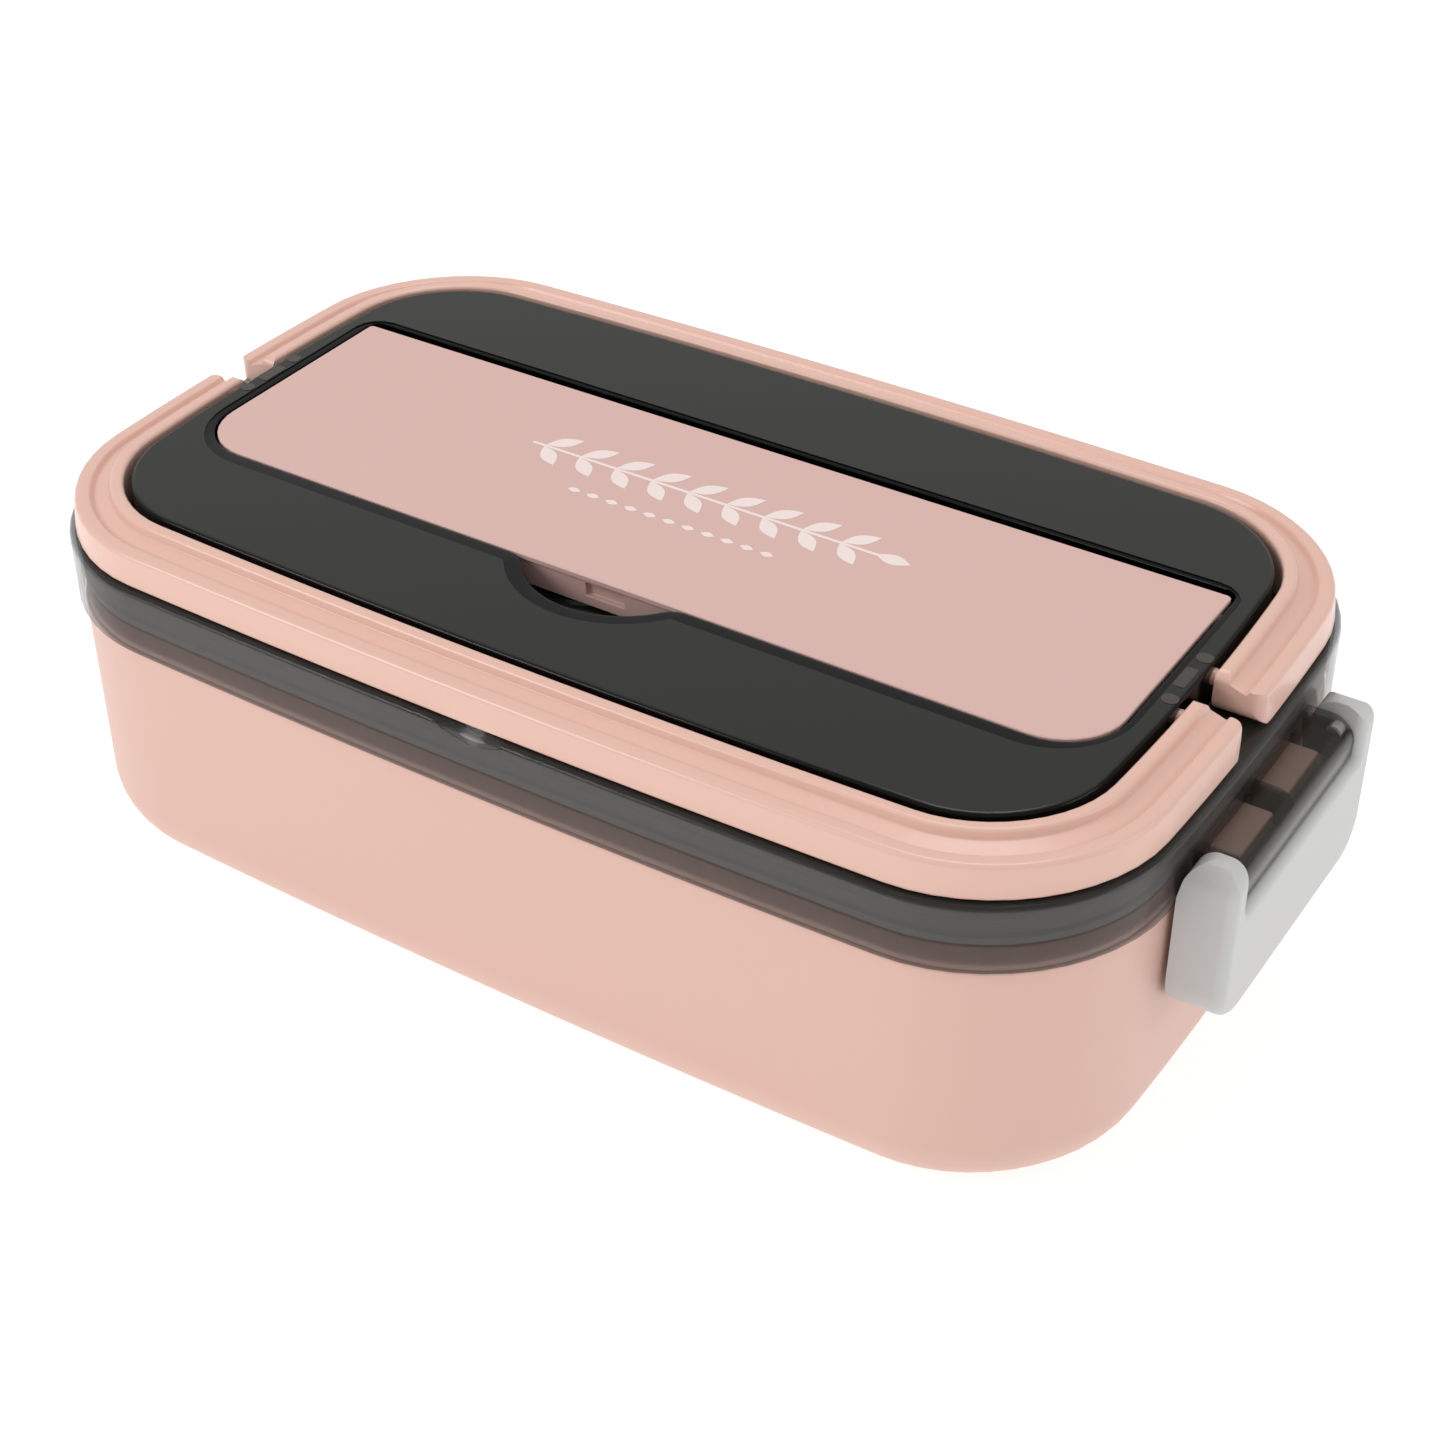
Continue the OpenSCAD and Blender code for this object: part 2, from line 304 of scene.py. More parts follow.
def shave(bm: BMesh, point: Vector, outward: Vector) -> None:
    """Cuts off everything beyond a plane and closes the cut.

    Args:
        bm: the mesh.
        point: a point of the plane.
        outward: the direction of what is cut off.
    """
    geom = bm.verts[:] + bm.edges[:] + bm.faces[:]
    cut = bmesh.ops.bisect_plane(bm, geom=geom, dist=1e-5, plane_co=point, plane_no=outward, clear_outer=True)
    edges = [g for g in cut["geom_cut"] if isinstance(g, BMEdge) and g.is_boundary]
    if edges:
        bmesh.ops.holes_fill(bm, edges=edges, sides=0)


def round_off(bm: BMesh, centre: Vector, radius: float, start: Vector, end: Vector, steps: int = 5) -> None:
    """Shaves an edge round with planes that touch an arc.

    Args:
        bm: the mesh.
        centre: a point on the arc's axis.
        radius: the arc's radius.
        start: the direction of its first touching plane.
        end: the direction of its last one.
        steps: how many planes there are between the two.
    """
    turn = start.rotation_difference(end)
    for k in range(1, steps + 1):
        way = Quaternion().slerp(turn, k / (steps + 1)) @ start
        shave(bm, centre + way * radius, way)


def score(bm: BMesh, faces: Iterable[BMFace], cuts: Sequence[tuple[Axis, float]]) -> None:
    """Draws edges across faces where planes meet them.

    Args:
        bm: the mesh.
        faces: the faces that are cut.
        cuts: axis and place of each plane.
    """
    alive = list(faces)
    for axis, place in cuts:
        around = [part for f in alive for part in (*f.edges, *f.verts)]
        geom = list(dict.fromkeys(alive + around))
        made = bmesh.ops.bisect_plane(bm, geom=geom, dist=1e-5, plane_co=axis.value * place, plane_no=axis.value)
        alive = [g for g in made["geom"] if isinstance(g, BMFace)]


def pick(bm: BMesh, test: Callable[[Vector], bool]) -> list[BMFace]:
    """Gives the faces whose middle passes a test."""
    return [f for f in bm.faces if test(f.calc_center_median())]


def face_up(bm: BMesh) -> None:
    """Turns the faces of an open skin the same way, with its largest face upwards."""
    bmesh.ops.recalc_face_normals(bm, faces=bm.faces[:])
    if max(bm.faces, key=lambda f: f.calc_area()).normal.z < 0:
        bmesh.ops.reverse_faces(bm, faces=bm.faces[:])


# ---- finishes


class Socket:
    """A shader output, or a number, that arithmetic can be written with."""

    def __init__(self, shader: "Shader", link: Any) -> None:
        """Keeps the shader and the output."""
        self.shader = shader
        self.link = link

    def _math(self, operation: str, first: Any, second: Any) -> "Socket":
        """Adds a Math node of that operation."""
        return self.shader.node("ShaderNodeMath", {"operation": operation}, {0: first, 1: second})

    def __add__(self, other: Any) -> "Socket":
        """Adds."""
        return self._math("ADD", self, other)

    __radd__ = __add__

    def __mul__(self, other: Any) -> "Socket":
        """Multiplies."""
        return self._math("MULTIPLY", self, other)

    __rmul__ = __mul__

    def __sub__(self, other: Any) -> "Socket":
        """Subtracts a value."""
        return self._math("SUBTRACT", self, other)

    def __rsub__(self, other: Any) -> "Socket":
        """Is subtracted from a value."""
        return self._math("SUBTRACT", other, self)


class Shader:
    """A material that is being put together."""

    def __init__(self, name: str) -> None:
        """Starts an empty material of that name."""
        self.material = bpy.data.materials.new(name)
        self.material.use_nodes = True
        self.tree = self.material.node_tree
        self.tree.nodes.clear()

    def node(self, kind: str, settings: dict[str, Any] | None = None,
             values: dict[Any, Any] | None = None, output: Any = 0) -> Socket | None:
        """Adds a node.

        Args:
            kind: the node's type.
            settings: its properties, set before its sockets.
            values: a number, colour or Socket for each named input.
            output: the name or number of the output that is wanted, or None on a last node.

        Returns:
            That output.
        """
        made = self.tree.nodes.new(kind)
        for key, value in (settings or {}).items():
            setattr(made, key, value)
        for key, value in (values or {}).items():
            if isinstance(value, Socket):
                self.tree.links.new(value.link, made.inputs[key])
            else:
                made.inputs[key].default_value = value
        return None if output is None else Socket(self, made.outputs[output])

    def place(self) -> Socket:
        """Gives the Object coordinates."""
        return self.node("ShaderNodeTexCoord", output="Object")

    def noise(self, place: Socket, scale: float, detail: float = 2.0) -> Socket:
        """Gives a noise from 0 to 1 with about scale features per metre."""
        return self.node("ShaderNodeTexNoise", {}, {"Vector": place, "Scale": scale, "Detail": detail}, "Fac")

    def ramp(self, value: Socket, start: float, end: float, low: float = 0.0, high: float = 1.0) -> Socket:
        """Maps a place from start to end, in millimetres, onto low to high."""
        return self.node("ShaderNodeMapRange", {}, {
            "Value": value, "From Min": start * MM, "From Max": end * MM, "To Min": low, "To Max": high})

    def blend(self, share: Any, first: "Colour | Socket", second: "Colour | Socket") -> Socket:
        """Mixes two colours, each a plain one or a link."""
        ends = [end if isinstance(end, Socket) else (*end, 1) for end in (first, second)]
        return self.node("ShaderNodeMix", {"data_type": "RGBA"}, {"Factor": share, 6: ends[0], 7: ends[1]}, 2)


def tint(red: int, green: int, blue: int) -> Colour:
    """Turns an ordinary 0 to 255 colour into a linear one."""
    shares = [value / 255 for value in (red, green, blue)]
    linear = [s / 12.92 if s <= 0.04045 else ((s + 0.055) / 1.055) ** 2.4 for s in shares]
    return linear[0], linear[1], linear[2]


CLOUD_SCALE = 35.0
CLOUD_GLOSS = 0.08
FINE_GLOSS = 0.04
GRAIN_DEPTH = 0.05
COAT_ROUGHNESS = 0.12


@dataclass(frozen=True)
class Moulded:
    """A moulded plastic: its colour, how its gloss and grain vary, and how much shows through it.

    A finish with a thick_alpha changes with height. Its alpha goes from alpha to thick_alpha at
    thick_from. Between thick_from and lit_from it carries a painted shade: its colour is multiplied
    by the painted shade share, and the painted shade metal dulls its reflection there.
    """

    name: str
    colour: Colour
    roughness: float = 0.4
    mottle: float = 0.03
    grain: float = 0.12
    grain_size: float = 0.5
    coat: float = 0.0
    alpha: float = 1.0
    thick_alpha: float | None = None
    thick_from: float = 0.0
    lit_from: float = 0.0
    painted_shade_share: float = 0.12
    painted_shade_metal: float = 0.0
    specular: float = 0.5
    glow: float = 0.0

    def build(self) -> bpy.types.Material:
        """Makes the material.

        Returns:
            The material, with a mottled colour, an uneven gloss and a fine grain.
        """
        shader = Shader(self.name)
        place = shader.place()
        cloud = shader.noise(place, CLOUD_SCALE, 3.0)
        fine = shader.noise(place, 1 / (self.grain_size * MM), 2.0)
        # darker and lighter are the random mottle; the third colour is a painted shade, much darker than the plastic
        darker, lighter, painted_shade_colour = (
            tuple(c * share for c in self.colour) for share in (1 - self.mottle, 1 + self.mottle, self.painted_shade_share))
        base = shader.blend(cloud, darker, lighter)
        opacity: Socket | float = self.alpha
        deep: Socket | float = 0.0
        if self.thick_alpha is not None:
            height = shader.node("ShaderNodeSeparateXYZ", {}, {"Vector": place}, "Z")
            opacity = shader.ramp(height, self.thick_from - 1, self.thick_from, self.alpha, self.thick_alpha)
            # Painted shade: between thick_from and lit_from the colour darkens and a dark metal dulls the reflection
            raised = shader.ramp(height, self.lit_from - 0.1, self.lit_from)
            lowered = shader.ramp(height, self.thick_from + 1, self.thick_from)
            # the metal of the painted shade, which makes the reflection there dark
            deep = (1 - raised - lowered) * self.painted_shade_metal
            base = shader.blend(raised + lowered, painted_shade_colour, base)
        ripple = shader.node("ShaderNodeBump", {}, {"Strength": self.grain, "Distance": GRAIN_DEPTH * MM,
                                                    "Height": fine})
        surface = shader.node(
            "ShaderNodeBsdfPrincipled", {},
            {
                "Base Color": base,
                "Roughness": cloud * CLOUD_GLOSS + fine * FINE_GLOSS
                + (self.roughness - (CLOUD_GLOSS + FINE_GLOSS) / 2),
                "Metallic": deep,
                "Specular IOR Level": self.specular,
                "Coat Weight": self.coat,
                "Coat Roughness": COAT_ROUGHNESS,
                "Alpha": opacity,
                "Emission Color": (1, 1, 1, 1),
                "Emission Strength": self.glow,
                "Normal": ripple,
            },
        )
        shader.node("ShaderNodeOutputMaterial", {}, {"Surface": surface}, None)
        return shader.material


class Finish(Enum):
    """The finishes, with roughness, mottle, grain and grain size after the colour."""

    TUB = Moulded("tub_plastic", tint(221, 181, 167), 0.42, 0.012, 0.10, 0.5)
    HANDLE = Moulded("handle_plastic", tint(231, 188, 172), 0.30, 0.010, 0.06, 0.5, coat=0.25)
    COVER = Moulded("cover_plastic", tint(219, 181, 173), 0.36, 0.012, 0.12, 0.4)
    # The smoked lid gets a painted shade on its riser under the handles and on its recess walls
    SMOKE = Moulded("smoked_plastic", tint(40, 40, 38), 0.14, 0.03, 0.02, 0.8, coat=0.1, alpha=0.41,
                    thick_alpha=0.97, thick_from=65.5, lit_from=73.45, painted_shade_metal=0.6, specular=0.25)
    HOOD = Moulded("hood_plastic", tint(50, 45, 37), 0.16, 0.03, 0.02, 0.8, coat=0.2, alpha=0.84,
                   thick_alpha=0.28, thick_from=57.0, painted_shade_share=1.0, specular=0.4)
    HAZE = Moulded("hazy_plastic", tint(66, 60, 55), 0.18, 0.08, 0.03, 0.6, coat=0.1, specular=0.4)
    LATCH = Moulded("latch_plastic", tint(197, 197, 196), 0.38, 0.008, 0.10, 0.5)
    SEAL = Moulded("seal_silicone", tint(205, 203, 198), 0.55, 0.02, 0.15, 0.4)
    CUTLERY = Moulded("cutlery_plastic", tint(234, 193, 180), 0.34, 0.012, 0.08, 0.5)
    PRINT = Moulded("pale_print", tint(243, 226, 222), 0.50, 0.01, 0.05, 0.3)
    FLOOR = Moulded("floor_paper", (0.5, 0.5, 0.5), 0.9, 0.004, 0.02, 2.0, glow=0.70)


class Shop:
    """Turns finished meshes into dressed pieces."""

    def __init__(self) -> None:
        """Starts with no materials made."""
        self.materials: dict[Finish, bpy.types.Material] = {}

    def material(self, finish: Finish) -> bpy.types.Material:
        """Gives the material of a finish, made once."""
        if finish not in self.materials:
            self.materials[finish] = finish.value.build()
        return self.materials[finish]

    def piece(self, name: str, bm: BMesh, finish: Finish, body: Body,
              stands_for: Sequence[str] = (), edge: float = 0.0, smooth: float = 32.0,
              wall: float = 0.0) -> bpy.types.Object:
        """Makes an object from a mesh in millimetres and puts it on its body.

        Args:
            name: the piece's name.
            bm: its mesh, which is used up.
            finish: what it is made of.
            body: what it rides on.
            stands_for: the nodes that it replaces.
            edge: the radius of its sharp edges.
            smooth: the sharpest angle that is shaded smooth, in degrees.
            wall: the thickness that an open skin is given on its inner side.

        Returns:
            The object.
        """
        bmesh.ops.remove_doubles(bm, verts=bm.verts[:], dist=1e-4)
        if not wall:
            bmesh.ops.recalc_face_normals(bm, faces=bm.faces[:])
        bmesh.ops.scale(bm, vec=(MM, MM, MM), verts=bm.verts[:])
        for face in bm.faces:
            face.smooth = True
        for join in bm.edges:
            join.smooth = join.calc_face_angle(0.0) < math.radians(smooth)
        mesh = bpy.data.meshes.new(name)
        bm.to_mesh(mesh)
        bm.free()
        made = bpy.data.objects.new(name, mesh)
        bpy.context.scene.collection.objects.link(made)
        mesh.materials.append(self.material(finish))
        if wall:
            shell = made.modifiers.new("wall", "SOLIDIFY")
            shell.thickness = wall * MM
            shell.offset = -1.0
        if edge:
            round_edge = made.modifiers.new("soft_edges", "BEVEL")
            round_edge.width = edge * MM
            round_edge.segments = 3
            round_edge.limit_method = "ANGLE"
            round_edge.angle_limit = math.radians(smooth)
        made.modifiers.new("flat_faces", "WEIGHTED_NORMAL").keep_sharp = True
        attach(made, body.value)
        if stands_for:
            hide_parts(*stands_for)
        log.info("%s rides on %s: %d faces", name, body.value, len(mesh.polygons))
        return made


# ---- plan of the box

BOW_X = 2.63
BOW_Y = 2.53
SEAL_OUT = 9.55
HALF_X = node_box("seal_ring")[1].x - SEAL_OUT - BOW_X
HALF_Y = node_box("seal_ring")[1].y - SEAL_OUT - BOW_Y
CORNER = 21.6


def bowed(point: Vector, off: float) -> Vector:
    """Bends the straight sides of the plan outwards a little."""
    a, b = HALF_X + off, HALF_Y + off
    return Vector((
        point.x + BOW_X * (1 - (point.y / b) ** 2) * point.x / a,
        point.y + BOW_Y * (1 - (point.x / a) ** 2) * point.y / b,
    ))


def corner_arcs(half_x: float, low_y: float, high_y: float, front: float, rear: float) -> tuple[Arc, ...]:
    """Gives the corner arcs of a rectangle, with one radius for its front and one for its rear."""
    return (Arc(half_x - rear, high_y - rear, rear, 0, 90), Arc(rear - half_x, high_y - rear, rear, 90, 180),
            Arc(front - half_x, low_y + front, front, 180, 270), Arc(half_x - front, low_y + front, front, 270, 360))


BOX_PLAN = Outline(corner_arcs(HALF_X, -HALF_Y, HALF_Y, CORNER, CORNER), side_steps=14, warp=bowed)


@dataclass
class Tub:
    """The food tub with its catches, and the divider that stands in it."""

    outer: float = 10.07
    wall: float = 2.17
    outer_round: float = 12.0
    floor: float = 2.2
    rim_off: float = 9.5
    shoulder: float = 51.2
    rim: float = node_box("tub")[1].z
    catch_start: float = 108.5
    catch_end: float = node_box("tub")[1].x
    catch_low: float = 50.6
    catch_high: float = 55.4
    catch_gap: float = 3.0
    catch_width: float = 14.0
    divider_x: float = 28.0
    divider_wall: float = 1.8
    divider_top: float = node_box("divider")[1].z
    divider_half: float = 63.2
    divider_end: float = 109.3
    divider_round: float = 11.5

    def shell(self) -> BMesh:
        """Makes the tub as one wall from the foot over the rim to the inner floor."""
        bm = bmesh.new()
        inner = self.outer - self.wall
        BOX_PLAN.loft(bm, rounded([
            (-8, 0.6, 0), (-7.4, 0, 0.3), (self.outer, 0, self.outer_round), (self.outer, self.shoulder, 0.7),
            (self.rim_off, self.shoulder, 0.1), (self.rim_off, self.rim, 0.5), (inner, self.rim, 0.5),
            (inner, self.floor, self.outer_round - self.wall), (-4, self.floor, 0),
        ]))
        for side in (-1, 1):
            for y in (self.catch_gap, -self.catch_gap - self.catch_width):
                block(bm, (side * self.catch_start, y, self.catch_low),
                      (side * self.catch_end, y + self.catch_width, self.catch_high), 0.6)
        return bm

    def divider(self) -> BMesh:
        """Makes the cross wall and the short wall that meets it."""
        bm = bmesh.new()
        half, low, top = self.divider_wall / 2, self.floor + 0.05, self.divider_top
        wide, end, foot = self.divider_half, self.divider_end, self.divider_round
        cross = rounded([(-wide, top, 1.2), (-wide, low, foot), (wide, low, foot), (wide, top, 1.2)], closed=True)
        prism(bm, cross, Axis.X, self.divider_x - half, self.divider_x + half)
        near = self.divider_x + half + 0.01
        short = rounded([(near, top, 0), (near, low, 0), (end, low, foot), (end, top, 1.2)], closed=True)
        prism(bm, short, Axis.Y, -half, half)
        return bm

    def build(self, shop: Shop) -> None:
        """Dresses the tub and the divider."""
        shop.piece("food_tub", self.shell(), Finish.TUB, Body.TUB, ["tub"])
        shop.piece("tub_divider", self.divider(), Finish.TUB, Body.TUB, ["divider"], edge=0.4)


@dataclass
class Lid:
    """The smoked lid with its recess, latch hoods and seal."""

    skirt: float = 11.13
    skirt_low: float = 51.93
    ledge: float = 65.1
    plateau_off: float = -1.3
    top: float = 73.5
    wall: float = 1.1
    half_well: float = 96.6
    front: float = -28.4
    back: float = 29.3
    deep_front: float = -24.8
    shelf: float = 66.2
    well: float = 58.0
    notch_x: float = -0.8
    notch_y: float = -18.2
    notch_r: float = 19.5
    notch_z: float = 64.8
    notch_fillet: float = 4.0
    chamfer: float = 2.7
    brink: float = 73.15
    lip: float = -0.5
    end_share: float = 0.45
    rear_share: float = 0.3
    scoop_r: float = 17.0
    scoop_depth: float = 10.65
    window_near: float = 2.0
    window_far: float = 18.0
    window_top: float = 56.4
    hood_from: float = 112.9
    hood_to: float = 122.0
    hood_low: float = 51.2
    hood_top: float = 59.0
    hood_wall: float = 1.4
    hood_half: float = 24.0
    hood_rib: float = 2.3
    bump_x: float = 98.0
    bump_rise: float = 0.09

    def mouth(self) -> Outline:
        """Gives the outline of the recess: a rectangle with a finger notch in its front."""
        low_y = self.front - self.notch_fillet
        reach = math.sqrt((self.notch_r + self.notch_fillet) ** 2 - (low_y - self.notch_y) ** 2)
        lean = math.degrees(math.atan2(self.notch_y - low_y, reach))
        x = self.half_well
        *others, last = corner_arcs(x, self.front, self.back, 12.8, 3.0)

        def slimmer_ends(point: Vector, off: float) -> Vector:
            """Keeps the chamfer narrower at the two ends and at the rear."""
            y = point.y * (self.back + self.rear_share * off) / (self.back + off) if point.y > 0 else point.y
            return Vector((point.x * (x + self.end_share * off) / (x + off), y))

        return Outline((
            *others,
            Arc(self.notch_x - reach, low_y, self.notch_fillet, 90, lean, -1),
            Arc(self.notch_x, self.notch_y, self.notch_r, 180 + lean, 360 - lean),
            Arc(self.notch_x + reach, low_y, self.notch_fillet, 180 - lean, 90, -1),
            last,
        ), side_steps=2, warp=slimmer_ends)

    def deep(self) -> Outline:
        """Gives the outline of the deep cutlery well."""
        return Outline(corner_arcs(self.half_well - 0.4, self.deep_front, self.back - 0.4, 3.0, 3.0), side_steps=2)

    def shelf_height(self, point: Vector) -> float:
        """Gives the height of the shelf at a point: lower in the finger notch."""
        return self.notch_z if point.y < self.front - 1.0 else self.shelf

    def skin(self) -> BMesh:
        """Makes the lid's upper skin; its wall is added when it is dressed."""
        bm = bmesh.new()
        levels = rounded([(self.skirt, self.skirt_low, 0), (self.skirt, 57, 0), (self.skirt, 61.5, 0),
                          (self.skirt, 63, 0), (self.skirt, self.ledge, 1.0), (8.2, self.ledge, 0),
                          (7.4, self.ledge, 0), (self.plateau_off, self.ledge, 0.5),
                          (self.plateau_off, self.top, 0.8), (self.plateau_off - 0.85, self.top, 0)])
        edge = BOX_PLAN.loft(bm, levels, capped=False)
        mouth, deep = self.mouth(), self.deep()
        rim = verts = mouth.loop(bm, self.chamfer, self.top)
        for off, height in ((self.chamfer - 0.12, self.top - 0.25), (0.1, self.brink), (self.lip, self.brink - 0.1),
                            (self.lip, self.shelf_height)):
            verts = mouth.grow(bm, verts, off, height)
        well_edge = well = deep.loop(bm, 0, self.shelf)
        for off, height in ((-0.1, self.well + 1.2), (-0.5, self.well + 0.4), (-1.3, self.well)):
            well = deep.grow(bm, well, off, height)
        for outer, inner in ((edge, rim), (verts, well_edge)):
            border = ring_edges(bm, outer) + ring_edges(bm, inner)
            bmesh.ops.triangle_fill(bm, use_beauty=True, edges=border, normal=(0, 0, 1))
        bmesh.ops.edgeloop_fill(bm, edges=ring_edges(bm, well))
        self.cut_windows(bm)
        self.press_scoop(bm)
        face_up(bm)
        return bm

    def cut_windows(self, bm: BMesh) -> None:
        """Opens the skirt where the tub's catches pass through it."""
        near, far, top = self.window_near, self.window_far, self.window_top
        ends = pick(bm, lambda m: abs(m.x) > 105 and m.z < 58)
        score(bm, ends, [(Axis.Y, y) for y in (-far, -near, near, far)] + [(Axis.Z, top)])
        gone = pick(bm, lambda m: abs(m.x) > 105 and near < abs(m.y) < far and m.z < top)
        bmesh.ops.delete(bm, geom=gone, context="FACES")

    def press_scoop(self, bm: BMesh) -> None:
        """Presses the round thumb scoop into the front edge of the ledge."""
        edge_y = -(HALF_Y + BOW_Y + self.skirt)
        centre = Vector((0, edge_y - self.scoop_depth, self.ledge + self.scoop_depth))
        near = pick(bm, lambda m: m.y < 4 - HALF_Y and m.z > 60 and abs(m.x) < 16)
        steps, half = 18, 10.0
        cuts = [(Axis.X, half * k / steps) for k in range(-steps, steps + 1)]
        cuts += [(Axis.Z, 61.5 + 0.5 * k) for k in range(1, 6)] + [(Axis.Y, edge_y + 0.6 * k) for k in range(1, 7)]
        score(bm, near, cuts)
        for vert in bm.verts:
            away = vert.co - centre
            if away.length < self.scoop_r:
                vert.co = centre + away.normalized() * self.scoop_r

    def plug(self) -> BMesh:
        """Makes the ring that plugs into the tub's mouth."""
        bm = bmesh.new()
        out, inside, low, high = 6.9, 5.4, 54.5, self.ledge - self.wall - 0.02
        section = rounded([(out, high, 0), (out, low, 0.5), (inside, low, 0.5), (inside, high, 0)], closed=True)
        BOX_PLAN.loft(bm, section, closed=True)
        return bm

    def hood(self, side: int) -> BMesh:
        """Makes the curved hood over a catch, with its ribs; side is 1 on the right."""
        bm = bmesh.new()
        base, end, low, high = self.hood_from, self.hood_to, self.hood_low, self.hood_top
        half, in_end, in_high = self.hood_half, end - self.hood_wall, high - self.hood_wall
        shell = rounded([(base, high, 0), (end, high, 4.8), (end, low, 0.4), (in_end, low, 0.4),
                         (in_end, in_high, 3.4), (base, in_high, 0)], closed=True)
        prism(bm, shell, Axis.Y, -half, half)
        gap = 0.02
        rib = rounded([(base, in_high - gap, 0), (in_end - gap, in_high - gap, 3.4), (in_end - gap, low, 0),
                       (base + 0.9, low, 0)], closed=True)
        for y0, y1 in ((-half, self.hood_rib - half), (-1, 1), (half - self.hood_rib, half)):
            prism(bm, rib, Axis.Y, y0, y1)
        if side < 0:
            flip(bm, Axis.X)
        return bm

    def bumps(self) -> BMesh:
        """Makes the low bumps over the handles' pins and the window between them, at both ends."""
        bm = bmesh.new()
        pin_pad, window = (1.4, 101.0, 1.2), (3.1, 100.2, 0.5)
        for side in (-1, 1):
            for y, (half, far, corner) in ((-7.0, pin_pad), (0.0, window), (7.0, pin_pad)):
                spots = ((self.bump_x, -half), (far, -half), (far, half), (self.bump_x, half))
                pad = rounded([(side * x, y + aside, corner) for x, aside in spots], closed=True)
                prism(bm, pad, Axis.Z, self.top - 0.05, self.top + self.bump_rise)
        return bm

    def seal(self) -> BMesh:
        """Makes the silicone ring with its two sealing lips."""
        bm = bmesh.new()
        low, high = node_box("seal_ring")[0].z, node_box("seal_ring")[1].z
        out, inside = SEAL_OUT, 7.05
        section = rounded([
            (inside, low, 0.5), (out, low, 0.5), (out, low + 1.6, 0.3), (out - 0.5, low + 2.2, 0.3),
            (out - 0.5, high - 2.2, 0.3), (out, high - 1.6, 0.3), (out, high, 0.5), (inside, high, 0.5),
        ], closed=True)
        BOX_PLAN.loft(bm, section, closed=True)
        return bm

    def build(self, shop: Shop) -> None:
        """Dresses the lid, its plug ring, the bumps on it, its hoods and its seal."""
        shop.piece("lid_skin", self.skin(), Finish.SMOKE, Body.LID, ["lid_shell"], wall=self.wall)
        shop.piece("lid_plug_ring", self.plug(), Finish.SMOKE, Body.LID)
        shop.piece("pin_bumps", self.bumps(), Finish.HAZE, Body.LID)
        for side, name in ((1, "right"), (-1, "left")):
            shop.piece(f"latch_hood_{name}", self.hood(side), Finish.HOOD, Body.LID, edge=0.2)
        shop.piece("lid_seal", self.seal(), Finish.SEAL, Body.LID, ["seal_ring"])


